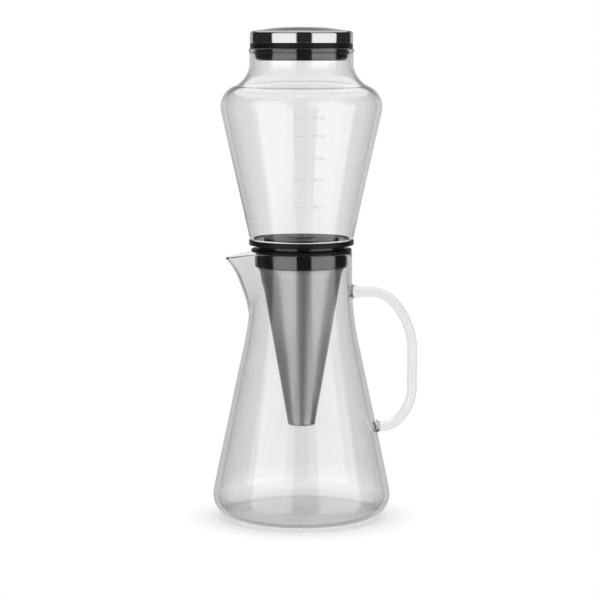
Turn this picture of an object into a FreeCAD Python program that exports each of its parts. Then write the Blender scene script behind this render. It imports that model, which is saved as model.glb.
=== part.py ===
import FreeCAD, Part
import math
import os
import re
import Sketcher

# A cold brew coffee maker: a blown glass carafe with a drawn spout and a rod handle, a steel cone
# filter hung in its neck from a black collar, and a tapered glass water vessel with a drip nozzle
# and a steel lid standing on top. Sizes are in millimetres. The foot of the carafe stands on Z = 0
# with its axis on Z. The spout points along -X and the handle along +X.

Vector = FreeCAD.Vector
ROUND_TO_AXIS = 1e-9

doc = FreeCAD.newDocument("ColdBrewMaker")
sheet = doc.addObject("Spreadsheet::Sheet", "Dimensions")

# Driving dimensions, each with its meaning. Levels named *_level are heights above the table.

DIMENSIONS = {
    # Used on several pieces
    "edge_round": (0.4, "broken edge of the thin steel and silicone pieces"),
    "moulded_round": (1.0, "round of the moulded edges"),
    "loose_fit": (0.1, "room between small pieces that slip together"),
    # Carafe, measured outside the glass
    "carafe_wall": (2.2, "blown wall of the carafe"),
    "foot_radius": (64.45, "where the flared wall would meet the table"),
    "foot_round": (16.0, "round between the base and the flared wall"),
    "punt_radius": (30.0, "edge of the pushed-up middle of the base"),
    "punt_rise": (1.5, "height of the pushed-up middle"),
    "neck_radius": (34.5, "outside of the straight neck"),
    "neck_corner_level": (140.3, "where the flared wall would meet the neck"),
    "neck_round": (220.0, "long sweep from the flared wall into the neck"),
    "rim_level": (182.0, "top of the carafe"),
    "rim_round": (0.8, "fire-polished edge of each glass rim"),
    # Spout, drawn out of the neck
    "spout_start_level": (139.0, "where the spout starts to leave the neck"),
    "spout_tip_reach": (52.1, "tip of the spout from the axis"),
    "spout_tip_level": (177.8, "height of the tip"),
    "rim_dip_start": (30.0, "distance from the axis where the rim starts to dip"),
    "rim_dip_round": (60.0, "soft bend of the rim where the dip starts"),
    # Handle, a bent glass rod
    "rod_width": (10.0, "rod across the handle"),
    "rod_depth": (6.8, "rod seen from the side"),
    "handle_reach": (75.8, "middle of the grip from the axis"),
    "handle_top_level": (154.4, "middle of the upper run"),
    "handle_foot_level": (61.3, "middle of the lower run"),
    "grip_top_level": (114.5, "upper end of the straight grip"),
    "grip_foot_level": (89.0, "lower end of the straight grip"),
    "top_tight_bend": (20.5, "tight half of the upper bend"),
    "top_wide_bend": (48.0, "wide half of the upper bend"),
    "foot_wide_bend": (32.0, "wide half of the lower bend"),
    "foot_tight_bend": (17.0, "tight half of the lower bend"),
    "weld_width": (13.0, "width of the weld where the rod meets the wall"),
    "weld_depth": (10.6, "height of the weld where the rod meets the wall"),
    "weld_length": (5.0, "length over which the rod widens into the weld"),
    # Filter, measured down from the top of its collar
    "collar_level": (186.7, "top of the collar, where the vessel stands"),
    "cone_radius": (27.6, "outside of the filter above its taper"),
    "cone_sheet": (0.5, "steel of the cone"),
    "cone_flange_radius": (30.2, "flange of the cone in the collar"),
    "cone_flange": (0.6, "thickness of that flange"),
    "taper_top": (18.4, "depth of the top of the taper"),
    "taper_foot": (122.3, "depth of the open foot of the cone"),
    "cone_foot_radius": (9.4, "outside of the foot of the cone"),
    "mesh_sheet": (0.3, "fine inner mesh"),
    "mesh_top": (21.0, "depth of the upper edge of the mesh"),
    "cap_depth": (1.6, "end cap below the foot of the cone"),
    "cap_skirt": (3.5, "wall of the end cap inside the mesh"),
    "cap_sheet": (0.6, "steel of the end cap"),
    "collar_radius": (31.2, "band that fills the neck of the carafe"),
    "collar_neck_radius": (31.0, "collar above the carafe's rim"),
    "collar_groove_radius": (29.8, "bottom of the groove for the seal"),
    "collar_bore": (27.65, "bore that holds the cone"),
    "collar_depth": (15.2, "depth of the lower edge of the collar"),
    "collar_round": (1.6, "round of its lower edge"),
    "seal_top": (2.7, "depth of the top of the seal"),
    "seal_foot": (4.6, "depth of the underside of the seal"),
    "seal_radius": (34.3, "outer edge of the seal, on the carafe's rim"),
    "seal_round": (0.7, "round of the seal's outer edge"),
    "clip_bore": (27.65, "bore of the clip ring, on the cone"),
    "clip_radius": (28.8, "outer edge of the clip ring under the collar"),
    "clip_height": (1.9, "height of the clip ring"),
    "spreader_radius": (24.6, "water spreader, a perforated steel dish"),
    "spreader_depth": (28.8, "depth of its floor below the collar's top"),
    "spreader_sheet": (0.8, "steel of the spreader"),
    "spreader_rim": (4.0, "height of its rim"),
    "spreader_hole": (0.8, "radius of each hole in it"),
    "spreader_pitch": (4.9, "distance between its rings of holes"),
    # Water vessel, measured up from its glass bottom
    "vessel_level": (188.0, "underside of the vessel's glass"),
    "vessel_wall": (2.0, "blown wall of the vessel"),
    "heel_radius": (34.55, "where the taper would meet the bottom"),
    "heel_round": (3.0, "round of the heel"),
    "shoulder_radius": (57.13, "corner where the taper would meet the shoulder"),
    "shoulder_corner": (101.4, "height of that corner"),
    "shoulder_round": (14.5, "round of the shoulder"),
    "throat_radius": (35.1, "outside of the vessel's neck"),
    "throat_corner": (110.18, "where the shoulder would meet the neck"),
    "throat_round": (16.5, "round from the shoulder into the neck"),
    "vessel_height": (131.4, "height of the vessel's glass"),
    "bead_radius": (35.6, "bead round the mouth of the vessel"),
    "bead_height": (2.8, "height of that bead"),
    "mouth_radius": (22.5, "opening in the bottom of the vessel"),
    "boot_radius": (35.7, "silicone ring round the heel"),
    "boot_bore": (26.9, "bore of that ring"),
    "boot_drop": (1.3, "thickness of the ring under the glass"),
    "boot_rise": (2.1, "height of the ring up the glass"),
    "plug_flange_radius": (25.5, "flange of the plug inside the vessel"),
    "plug_flange": (1.2, "thickness of that flange"),
    "spigot_radius": (26.4, "spigot that centres the vessel in the cone"),
    "spigot_drop": (6.3, "depth of the spigot"),
    "spigot_skirt": (3.2, "wall of the spigot"),
    "plug_web": (1.8, "floor of the plug under the glass"),
    "plug_boss": (7.5, "boss round the nozzle"),
    "nozzle_radius": (9.0, "head of the drip nozzle"),
    "nozzle_head": (0.9, "thickness of that head"),
    "nozzle_stem": (4.0, "stem of the nozzle in the plug"),
    "nozzle_barb": (5.2, "barb that holds the nozzle under the plug"),
    "barb_height": (0.8, "straight side of the barb"),
    "nozzle_drop": (10.0, "depth of the tip of the nozzle"),
    "nozzle_tip": (1.6, "outside of the tip"),
    "nozzle_bore": (0.6, "bore that lets the water drip"),
    "nozzle_mouth": (1.8, "funnel at the top of that bore"),
    # Lid, measured up from the mouth of the vessel
    "mouth_level": (319.4, "mouth of the vessel"),
    "gasket_height": (3.4, "rubber ring between the lid and the glass"),
    "gasket_radius": (34.8, "outer edge of that ring"),
    "gasket_round": (0.7, "round of its outer edges"),
    "lid_radius": (34.9, "outside of the steel cap"),
    "lid_side": (11.4, "top of the straight side of the cap"),
    "lid_top": (14.6, "top of the domed cap"),
    "lid_edge_round": (0.8, "round between the side and the dome"),
    "dome_corner_radius": (17.5, "where the slope of the dome turns flatter"),
    "dome_corner_height": (14.0, "height of that turn"),
    "dome_round": (60.0, "soft bend at that turn"),
    "lid_sheet": (0.6, "steel of the cap"),
    "shank_radius": (30.0, "shank of the core in the plug seal"),
    "shank_drop": (6.8, "depth of the shank"),
    "plug_seal_radius": (31.5, "outside of the plug seal"),
    "plug_seal_drop": (8.2, "depth of the plug seal"),
    "plug_seal_round": (3.0, "round of its lower edge"),
    "rib_radius": (32.7, "sealing ribs on the plug seal"),
    "rib_height": (1.2, "height of each rib"),
    "rib_pitch": (2.1, "distance between the ribs"),
    "rib_top": (1.2, "depth of the middle of the upper rib"),
}

# Sections of the spout: height, reach of the nose from the axis, and radius of the nose.
SPOUT_SECTIONS = (
    (148.0, 37.6, 13.0),
    (157.0, 40.6, 10.5),
    (166.0, 44.1, 8.5),
    (172.0, 47.4, 7.3),
    (177.8, 52.1, 6.2),
    (184.0, 58.6, 5.4),
)

for row, (alias, (value, meaning)) in enumerate(DIMENSIONS.items(), start=1):
    sheet.set(f"A{row}", meaning)
    sheet.set(f"B{row}", str(value))
    sheet.setAlias(f"B{row}", alias)
doc.recompute()


def size(expression):
    """The value of an expression on the sheet's names, in millimetres."""
    return float(sheet.evalExpression(expression))


def bound(expression):
    """The same expression as other objects read it, with the sheet's name before each alias."""
    return re.sub(r"[a-z_]+", lambda word: ("Dimensions." if word[0] in DIMENSIONS else "") + word[0], expression)


# Sketches


def new_body(node, level="0"):
    """A body for one piece, standing at a level of the sheet."""
    body = doc.addObject("PartDesign::Body", node)
    body.Label = node
    body.Placement = FreeCAD.Placement(Vector(0, 0, size(level)), FreeCAD.Rotation())
    body.setExpression("Placement.Base.z", bound(level))
    return body


def new_sketch(body, name, plane="XZ_Plane", offset="0"):
    """A sketch on one of the body's own planes, moved off it by an offset along its normal."""
    sketch = body.newObject("Sketcher::SketchObject", name)
    origin_plane = next(f for f in body.Origin.OriginFeatures if f.Role == plane)
    sketch.AttachmentSupport = (origin_plane, [""])
    sketch.MapMode = "FlatFace"
    sketch.AttachmentOffset = FreeCAD.Placement(Vector(0, 0, size(offset)), FreeCAD.Rotation())
    sketch.setExpression("AttachmentOffset.Base.z", bound(offset))
    return sketch


def hold(sketch, kind, *where, expression):
    """A constraint whose value follows an expression."""
    index = sketch.addConstraint(Sketcher.Constraint(kind, *where, size(expression)))
    sketch.setExpression(f"Constraints[{index}]", bound(expression))


def pin_point(sketch, geometry, end, across, up):
    """Holds a point of the sketch at two distances from its origin."""
    for kind, expression, axis in (("DistanceX", across, -2), ("DistanceY", up, -1)):
        value = size(expression)
        if abs(value) < ROUND_TO_AXIS:
            sketch.addConstraint(Sketcher.Constraint("PointOnObject", geometry, end, axis))
        elif value > 0:
            hold(sketch, kind, -1, 1, geometry, end, expression=expression)
        else:
            hold(sketch, kind, geometry, end, -1, 1, expression=f"-({expression})")


def unit(vector):
    return vector * (1 / vector.Length)


def angle_of(vector):
    return math.atan2(vector.y, vector.x)


def arc_between(centre, start, end):
    """The arc that runs anticlockwise from start to end."""
    first, last = angle_of(start - centre), angle_of(end - centre)
    if last < first:
        last += 2 * math.pi
    circle = Part.Circle(centre, Vector(0, 0, 1), (start - centre).Length)
    return Part.ArcOfCircle(circle, first, last)


def add_chain(sketch, points, radii, closed):
    """Straight sides through the points, with an arc at each point that has a radius.
    Returns the sides in order, and for each arc its geometry and which of its ends comes first."""
    count = len(points)
    arrive, leave, arcs = list(points), list(points), {}
    for i, radius in enumerate(radii):
        if not radius:
            continue
        back, on = unit(points[i - 1] - points[i]), unit(points[(i + 1) % count] - points[i])
        half = back.getAngle(on) / 2
        arrive[i] = points[i] + back * (radius / math.tan(half))
        leave[i] = points[i] + on * (radius / math.tan(half))
        centre = points[i] + unit(back + on) * (radius / math.sin(half))
        turns_left = on.cross(back).z > 0
        ends = (arrive[i], leave[i]) if turns_left else (leave[i], arrive[i])
        arcs[i] = (sketch.addGeometry(arc_between(centre, *ends)), (1, 2) if turns_left else (2, 1))
    starts = range(count if closed else count - 1)
    sides = [sketch.addGeometry(Part.LineSegment(leave[i], arrive[(i + 1) % count])) for i in starts]
    return sides, arcs


def join_sides(sketch, before, after, arc=None):
    """Joins two sides end to end, or both to the arc between them."""
    if arc is None:
        sketch.addConstraint(Sketcher.Constraint("Coincident", before, 2, after, 1))
        return
    geometry, (first, last) = arc
    sketch.addConstraint(Sketcher.Constraint("Tangent", before, 2, geometry, first))
    sketch.addConstraint(Sketcher.Constraint("Tangent", geometry, last, after, 1))


def pin_corner(sketch, corner, before, after, arc=None):
    """Joins the two sides at a corner and holds the corner in its place."""
    join_sides(sketch, before, after, arc)
    if arc is None:
        pin_point(sketch, after, 1, corner[0], corner[1])
        return
    hold(sketch, "Radius", arc[0], expression=corner[2])
    mark = sketch.addGeometry(Part.Point(Vector(size(corner[0]), size(corner[1]), 0)), True)
    for side in (before, after):
        sketch.addConstraint(Sketcher.Constraint("PointOnObject", mark, 1, side))
    pin_point(sketch, mark, 1, corner[0], corner[1])


def places(corners):
    """The points and the radii of a row of corners, each written (across, up) or (across, up, round)."""
    points = [Vector(size(corner[0]), size(corner[1]), 0) for corner in corners]
    radii = [size(corner[2]) if len(corner) > 2 else 0 for corner in corners]
    return points, radii


def outline(sketch, corners):
    """A closed outline through the corners."""
    sides, arcs = add_chain(sketch, *places(corners), closed=True)
    for i, corner in enumerate(corners):
        pin_corner(sketch, corner, sides[i - 1], sides[i], arcs.get(i))


def inset_points(points, wall):
    """The same chain moved to its left by the wall, with its first point straight above the old one
    and its last point at the old height."""
    moves = []
    for start, end in zip(points, points[1:]):
        along = unit(end - start)
        moves.append((start + Vector(-along.y, along.x, 0) * wall, along))
    first, last = moves[0], moves[-1]
    rows = [first[0] + first[1] * ((points[0].x - first[0].x) / first[1].x)]
    for (place, along), (other, turned) in zip(moves, moves[1:]):
        gap = other - place
        rows.append(place + along * (gap.cross(turned).z / along.cross(turned).z))
    rows.append(last[0] + last[1] * ((points[-1].y - last[0].y) / last[1].y))
    return rows


def wall_outline(sketch, corners, wall):
    """The section of a blown wall of even thickness. The corners run along its outside, from the
    bottom to the rim, with the glass on their left."""
    points, radii = places(corners)
    thickness = size(wall)
    sides, arcs = add_chain(sketch, points, radii, closed=False)
    inner_radii = [
        radius and radius + (-thickness if arcs[i][1] == (1, 2) else thickness)
        for i, radius in enumerate(radii)
    ]
    inner, inner_arcs = add_chain(sketch, inset_points(points, thickness), inner_radii, closed=False)
    pin_point(sketch, sides[0], 1, *corners[0][:2])
    pin_point(sketch, sides[-1], 2, *corners[-1][:2])
    for i in range(1, len(corners) - 1):
        pin_corner(sketch, corners[i], sides[i - 1], sides[i], arcs.get(i))
        join_sides(sketch, inner[i - 1], inner[i], inner_arcs.get(i))
        if i in arcs:
            sign = "-" if arcs[i][1] == (1, 2) else "+"
            hold(sketch, "Radius", inner_arcs[i][0], expression=f"{corners[i][2]} {sign} {wall}")
    for side, inner_side in zip(sides, inner):
        sketch.addConstraint(Sketcher.Constraint("Parallel", side, inner_side))
        hold(sketch, "Distance", side, 1, inner_side, expression=wall)
    for end, edge, level in ((1, 0, "Vertical"), (2, -1, "Horizontal")):
        ends = [sketch.getPoint(chain[edge], end) for chain in (sides, inner)]
        closing = sketch.addGeometry(Part.LineSegment(*ends))
        sketch.addConstraint(Sketcher.Constraint("Coincident", closing, 1, sides[edge], end))
        sketch.addConstraint(Sketcher.Constraint("Coincident", closing, 2, inner[edge], end))
        sketch.addConstraint(Sketcher.Constraint(level, closing))


# Features


def revolved(body, name, corners, kind="PartDesign::Revolution", wall=None):
    """A full turn of an outline about the body's upright axis, added or, as a Groove, cut away.
    With a wall, the corners are the outside of a blown form and only its wall is turned."""
    sketch = new_sketch(body, f"{name}_outline")
    if wall:
        wall_outline(sketch, corners, wall)
    else:
        outline(sketch, corners)
    feature = body.newObject(kind, name)
    feature.Profile = sketch
    feature.ReferenceAxis = (sketch, ["V_Axis"])
    feature.Angle = 360
    doc.recompute()
    return feature


def grooved(body, name, corners):
    return revolved(body, name, corners, "PartDesign::Groove")


def drilled(body, name, radius, distance, count):
    """Cuts a ring of through holes round the axis, or one hole on it."""
    sketch = new_sketch(body, f"{name}_circle", "XY_Plane")
    circle = sketch.addGeometry(Part.Circle(Vector(size(distance), 0, 0), Vector(0, 0, 1), size(radius)))
    hold(sketch, "Radius", circle, expression=radius)
    pin_point(sketch, circle, 3, distance, "0")
    pocket = body.newObject("PartDesign::Pocket", name)
    pocket.Profile = sketch
    pocket.Type = "ThroughAll"
    pocket.Midplane = True
    doc.recompute()
    if count == 1:
        return pocket
    ring = body.newObject("PartDesign::PolarPattern", f"{name}_ring")
    ring.Originals = [pocket]
    ring.Axis = (sketch, ["N_Axis"])
    ring.Angle = 360
    ring.Occurrences = count
    body.Tip = ring
    doc.recompute()
    return ring


def lofted(body, name, sketches, kind="PartDesign::AdditiveLoft"):
    """A smooth skin through a row of sections."""
    loft = body.newObject(kind, name)
    loft.Profile = sketches[0]
    loft.Sections = sketches[1:]
    loft.Ruled = False
    doc.recompute()
    return loft


# Carafe: one piece of blown glass, with a push-up in its base, a flared wall and a straight neck

CARAFE_OUTLINE = (
    ("0", "punt_rise"),
    ("punt_radius", "0"),
    ("foot_radius", "0", "foot_round"),
    ("neck_radius", "neck_corner_level", "neck_round"),
    ("neck_radius", "rim_level + 2"),
)


def neck_radius_at(level, inset="0"):
    """Radius of the long sweep into the neck at a height above the table, outside or, with the wall as
    the inset, inside."""
    flare = math.atan(size("(foot_radius - neck_radius) / neck_corner_level"))
    sweep = size("neck_round")
    sweep_top = size("neck_corner_level") + sweep * math.tan(flare / 2)
    rise = max(sweep_top - level, 0)
    return size("neck_radius") + sweep - math.sqrt((sweep + size(inset)) ** 2 - rise**2)


def spout_section(body, name, level, reach, nose, inset):
    """One section of the neck with its spout: the neck's circle and the smaller circle of the nose,
    joined by their common tangents. inset is the glass wall for the inside and 0 for the outside."""
    sketch = new_sketch(body, name, "XY_Plane", str(level))
    away = reach - nose
    radii = (neck_radius_at(level, inset), nose - size(inset))
    lean = math.acos((radii[0] - radii[1]) / away)
    centres = (Vector(0, 0, 0), Vector(-away, 0, 0))
    left, right = (Vector(-math.cos(lean), side * math.sin(lean), 0) for side in (-1, 1))
    neck_arc = sketch.addGeometry(arc_between(centres[0], left * radii[0], right * radii[0]))
    far_side = sketch.addGeometry(Part.LineSegment(right * radii[0], centres[1] + right * radii[1]))
    nose_arc = sketch.addGeometry(
        arc_between(centres[1], centres[1] + right * radii[1], centres[1] + left * radii[1])
    )
    near_side = sketch.addGeometry(Part.LineSegment(centres[1] + left * radii[1], left * radii[0]))
    joins = ((neck_arc, 2, far_side, 1), (far_side, 2, nose_arc, 1), (nose_arc, 2, near_side, 1), (near_side, 2, neck_arc, 1))
    for join in joins:
        sketch.addConstraint(Sketcher.Constraint("Tangent", *join))
    pin_point(sketch, neck_arc, 3, "0", "0")
    pin_point(sketch, nose_arc, 3, str(-away), "0")
    hold(sketch, "Radius", neck_arc, expression=str(radii[0]))
    hold(sketch, "Radius", nose_arc, expression=f"{nose} - {inset}")
    return sketch


def spout_sections(body, name, inset):
    """All sections of the neck, from where the spout starts to just above the rim."""
    start = size("spout_start_level")
    first = (start, neck_radius_at(start) + 0.05, 17.0)
    rows = (first, *SPOUT_SECTIONS)
    return [
        spout_section(body, f"{name}_section_{chr(97 + i)}", *row, inset)
        for i, row in enumerate(rows)
    ]


def cut_rim(body):
    """Cuts the neck off at the rim, which dips towards the tip of the spout."""
    sketch = new_sketch(body, "rim_line")
    fall = "(rim_level - spout_tip_level) / (spout_tip_reach - rim_dip_start)"
    far = "2 * spout_tip_reach"
    outline(
        sketch,
        (
            (f"-{far}", f"rim_level - {fall} * ({far} - rim_dip_start)"),
            ("-rim_dip_start", "rim_level", "rim_dip_round"),
            (far, "rim_level"),
            (far, "rim_level + 20"),
            (f"-{far}", "rim_level + 20"),
        ),
    )
    pocket = body.newObject("PartDesign::Pocket", "rim_cut")
    pocket.Profile = sketch
    pocket.Type = "ThroughAll"
    pocket.Midplane = True
    doc.recompute()


def carafe_glass():
    body = new_body("carafe_glass")
    revolved(body, "blown_form", CARAFE_OUTLINE, wall="carafe_wall")
    above = "rim_level + 5"
    below = "spout_start_level"
    grooved(body, "neck_trim", (("0", below), ("foot_radius", below), ("foot_radius", above), ("0", above)))
    lofted(body, "drawn_neck", spout_sections(body, "outer", "0"))
    lofted(body, "drawn_bore", spout_sections(body, "inner", "carafe_wall"), "PartDesign::SubtractiveLoft")
    cut_rim(body)
    return body


# Handle: a solid glass rod with an oval section, bent to a D and welded to the wall at both ends


def oval(body, name, plane, offset, across, along, level):
    """An oval section standing across the rod. across lies along Y and along lies along Z."""
    sketch = new_sketch(body, name, plane, offset)
    wide, tall = size(across) / 2, size(along) / 2
    centre = Vector(0, size(level), 0)
    ellipse = sketch.addGeometry(
        Part.Ellipse(centre + Vector(wide, 0, 0), centre + Vector(0, tall, 0), centre)
    )
    sketch.exposeInternalGeometry(ellipse)
    major, minor = ellipse + 1, ellipse + 2
    pin_point(sketch, ellipse, 3, "0", level)
    sketch.addConstraint(Sketcher.Constraint("Horizontal", major))
    hold(sketch, "Distance", major, expression=across)
    hold(sketch, "Distance", minor, expression=along)
    return sketch


def rod_path(body):
    """The middle line of the rod: out, round the upper bend, down the grip, round the lower bend and in."""
    sketch = new_sketch(body, "rod_path")
    reach, top, foot = size("handle_reach"), size("handle_top_level"), size("handle_foot_level")
    levels = ("handle_top_level", "grip_top_level", "grip_foot_level", "handle_foot_level")
    corner = unit(Vector(1, 1, 0))
    mirrored = unit(Vector(1, -1, 0))
    tight, wide = size("top_tight_bend"), size("top_wide_bend")
    grip_top = Vector(reach, size("grip_top_level"), 0)
    wide_centre = grip_top - Vector(wide, 0, 0)
    tight_centre = wide_centre + corner * (wide - tight)
    run_end = tight_centre + Vector(0, tight, 0)
    low_wide, low_tight = size("foot_wide_bend"), size("foot_tight_bend")
    grip_foot = Vector(reach, size("grip_foot_level"), 0)
    low_wide_centre = grip_foot - Vector(low_wide, 0, 0)
    low_tight_centre = low_wide_centre + mirrored * (low_wide - low_tight)
    low_run_end = low_tight_centre - Vector(0, low_tight, 0)
    upper_run = sketch.addGeometry(Part.LineSegment(Vector(size(TOP_WELD_END), top, 0), run_end))
    bends = [
        (arc_between(tight_centre, tight_centre + corner * tight, run_end), "top_tight_bend"),
        (arc_between(wide_centre, grip_top, wide_centre + corner * wide), "top_wide_bend"),
        (arc_between(low_wide_centre, low_wide_centre + mirrored * low_wide, grip_foot), "foot_wide_bend"),
        (arc_between(low_tight_centre, low_run_end, low_tight_centre + mirrored * low_tight), "foot_tight_bend"),
    ]
    arcs = [sketch.addGeometry(arc) for arc, radius in bends]
    grip = sketch.addGeometry(Part.LineSegment(grip_top, grip_foot))
    lower_run = sketch.addGeometry(Part.LineSegment(low_run_end, Vector(size(FOOT_WELD_END), foot, 0)))
    joins = (
        (upper_run, 2, arcs[0], 2),
        (arcs[0], 1, arcs[1], 2),
        (arcs[1], 1, grip, 1),
        (grip, 2, arcs[2], 2),
        (arcs[2], 1, arcs[3], 2),
        (arcs[3], 1, lower_run, 1),
    )
    for join in joins:
        sketch.addConstraint(Sketcher.Constraint("Tangent", *join))
    for arc, (shape, radius) in zip(arcs, bends):
        hold(sketch, "Radius", arc, expression=radius)
    for run, end, across, up in (
        (upper_run, 1, TOP_WELD_END, "handle_top_level"),
        (grip, 1, "handle_reach", "grip_top_level"),
        (lower_run, 2, FOOT_WELD_END, "handle_foot_level"),
    ):
        pin_point(sketch, run, end, across, up)
    hold(sketch, "DistanceY", -1, 1, grip, 2, expression="grip_foot_level")
    for run, direction in ((upper_run, "Horizontal"), (grip, "Vertical"), (lower_run, "Horizontal")):
        sketch.addConstraint(Sketcher.Constraint(direction, run))
    return sketch


# Where the rod starts to widen into its welds, at the neck and low on the flared wall.
TOP_WELD_END = "neck_radius + weld_length"
FLARE = "(foot_radius - neck_radius) / neck_corner_level"
FOOT_WALL = f"foot_radius - {FLARE} * handle_foot_level"
FOOT_WELD_END = f"{FOOT_WALL} + 0.5 * weld_length"


def weld(body, name, wall, end, level):
    """The end of the rod, drawn out into an oval pad that goes into the line of the wall."""
    middle = f"({wall} + {end}) / 2"
    sections = (
        (end, "rod_width", "rod_depth"),
        (middle, "rod_width + 0.2 * (weld_width - rod_width)", "rod_depth + 0.2 * (weld_depth - rod_depth)"),
        (f"{wall} - 1.5", "weld_width", "weld_depth"),
    )
    ovals = [
        oval(body, f"{name}_section_{chr(97 + i)}", "YZ_Plane", place, across, along, level)
        for i, (place, across, along) in enumerate(sections)
    ]
    lofted(body, name, ovals)


def carafe_handle():
    body = new_body("carafe_handle")
    path = rod_path(body)
    section = oval(body, "rod_section", "YZ_Plane", TOP_WELD_END, "rod_width", "rod_depth", "handle_top_level")
    rod = body.newObject("PartDesign::AdditivePipe", "bent_rod")
    rod.Profile = section
    rod.Spine = (path, [f"Edge{i}" for i in range(1, 8)])
    doc.recompute()
    weld(body, "top_weld", "neck_radius", TOP_WELD_END, "handle_top_level")
    weld(body, "foot_weld", FOOT_WALL, FOOT_WELD_END, "handle_foot_level")
    grooved(body, "wall_seat", (*CARAFE_OUTLINE, ("0", "rim_level + 2")))
    return body


# Filter: a spun steel cone with a fine mesh inside, held by a black collar in the neck of the carafe


def filter_cone():
    body = new_body("filter_cone", "collar_level")
    revolved(
        body,
        "spun_sheet",
        (
            ("cone_foot_radius", "-taper_foot"),
            ("cone_radius", "-taper_top"),
            ("cone_radius", "-cone_flange"),
            ("cone_flange_radius", "-cone_flange"),
            ("cone_flange_radius", "0"),
            ("cone_radius - cone_sheet", "0"),
            ("cone_radius - cone_sheet", "-taper_top"),
            ("cone_foot_radius - cone_sheet", "-taper_foot"),
        ),
    )
    return body


CONE_TAPER = "(cone_radius - cone_foot_radius) / (taper_foot - taper_top)"


def filter_mesh():
    body = new_body("filter_mesh", "collar_level")
    outer_top = f"cone_radius - cone_sheet - loose_fit - {CONE_TAPER} * (mesh_top - taper_top)"
    outer_foot = "cone_foot_radius - cone_sheet - loose_fit"
    revolved(
        body,
        "mesh_cone",
        (
            (outer_foot, "-taper_foot"),
            (outer_top, "-mesh_top"),
            (f"{outer_top} - mesh_sheet", "-mesh_top"),
            (f"{outer_foot} - mesh_sheet", "-taper_foot"),
        ),
    )
    return body


def filter_end_cap():
    body = new_body("filter_end_cap", "collar_level")
    skirt = "cone_foot_radius - cone_sheet - loose_fit - mesh_sheet - loose_fit"
    foot = "-taper_foot - cap_depth"
    revolved(
        body,
        "pressed_cap",
        (
            ("0", foot),
            ("cone_foot_radius", foot, "moulded_round"),
            ("cone_foot_radius", "-taper_foot"),
            (skirt, "-taper_foot"),
            (skirt, "-taper_foot + cap_skirt"),
            (f"{skirt} - cap_sheet", "-taper_foot + cap_skirt"),
            (f"{skirt} - cap_sheet", f"{foot} + cap_sheet"),
            ("0", f"{foot} + cap_sheet"),
        ),
    )
    return body


def filter_collar():
    body = new_body("filter_collar", "collar_level")
    revolved(
        body,
        "collar_ring",
        (
            ("collar_bore", "-collar_depth"),
            ("collar_radius", "-collar_depth", "collar_round"),
            ("collar_radius", "-seal_foot"),
            ("collar_groove_radius", "-seal_foot"),
            ("collar_groove_radius", "-seal_top"),
            ("collar_neck_radius", "-seal_top"),
            ("collar_neck_radius", "0"),
            ("cone_flange_radius", "0"),
            ("cone_flange_radius", "-cone_flange"),
            ("collar_bore", "-cone_flange"),
        ),
    )
    return body


def collar_seal():
    body = new_body("collar_seal", "collar_level")
    revolved(
        body,
        "seal_ring",
        (
            ("collar_groove_radius", "-seal_foot"),
            ("seal_radius", "-seal_foot", "seal_round"),
            ("seal_radius", "-seal_top", "seal_round"),
            ("collar_groove_radius", "-seal_top"),
        ),
    )
    return body


def collar_clip():
    body = new_body("collar_clip", "collar_level")
    revolved(
        body,
        "clip_ring",
        (
            ("clip_bore", "-collar_depth - clip_height"),
            ("clip_radius", "-collar_depth - clip_height", "edge_round"),
            ("clip_radius", "-collar_depth", "edge_round"),
            ("clip_bore", "-collar_depth"),
        ),
    )
    return body


def water_spreader():
    """The perforated dish that spreads the drops over the coffee: a hole in the middle and rings of six,
    twelve, eighteen and twenty-four round it."""
    body = new_body("water_spreader", "collar_level")
    floor = "-spreader_depth"
    inside = "spreader_radius - spreader_sheet"
    revolved(
        body,
        "pressed_dish",
        (
            ("0", floor),
            ("spreader_radius", floor, "moulded_round"),
            ("spreader_radius", f"{floor} + spreader_rim"),
            (inside, f"{floor} + spreader_rim"),
            (inside, f"{floor} + spreader_sheet", "edge_round"),
            ("0", f"{floor} + spreader_sheet"),
        ),
    )
    drilled(body, "middle_hole", "spreader_hole", "0", 1)
    for ring in range(1, 5):
        drilled(body, f"holes_{chr(96 + ring)}", "spreader_hole", f"{ring} * spreader_pitch", 6 * ring)
    return body


# Water vessel: blown glass with an open bottom, closed by a silicone plug that holds the drip nozzle

VESSEL_OUTLINE = (
    ("mouth_radius", "0"),
    ("heel_radius", "0", "heel_round"),
    ("shoulder_radius", "shoulder_corner", "shoulder_round"),
    ("throat_radius", "throat_corner", "throat_round"),
    ("throat_radius", "vessel_height - bead_height"),
)


def vessel_glass():
    body = new_body("vessel_glass", "vessel_level")
    revolved(body, "blown_vessel", VESSEL_OUTLINE, wall="vessel_wall")
    inside = "throat_radius - vessel_wall"
    revolved(
        body,
        "rim_bead",
        (
            (inside, "vessel_height - bead_height"),
            ("bead_radius", "vessel_height - bead_height", "edge_round"),
            ("bead_radius", "vessel_height", "rim_round"),
            (inside, "vessel_height", "rim_round"),
        ),
    )
    return body


def vessel_base_ring():
    body = new_body("vessel_base_ring", "vessel_level")
    revolved(
        body,
        "boot",
        (
            ("boot_bore", "-boot_drop"),
            ("boot_radius", "-boot_drop", "edge_round"),
            ("boot_radius", "boot_rise", "edge_round"),
            ("boot_bore", "boot_rise"),
        ),
    )
    grooved(
        body,
        "heel_seat",
        (("0", "0"), *VESSEL_OUTLINE[1:3], ("0", "shoulder_corner")),
    )
    return body


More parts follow.
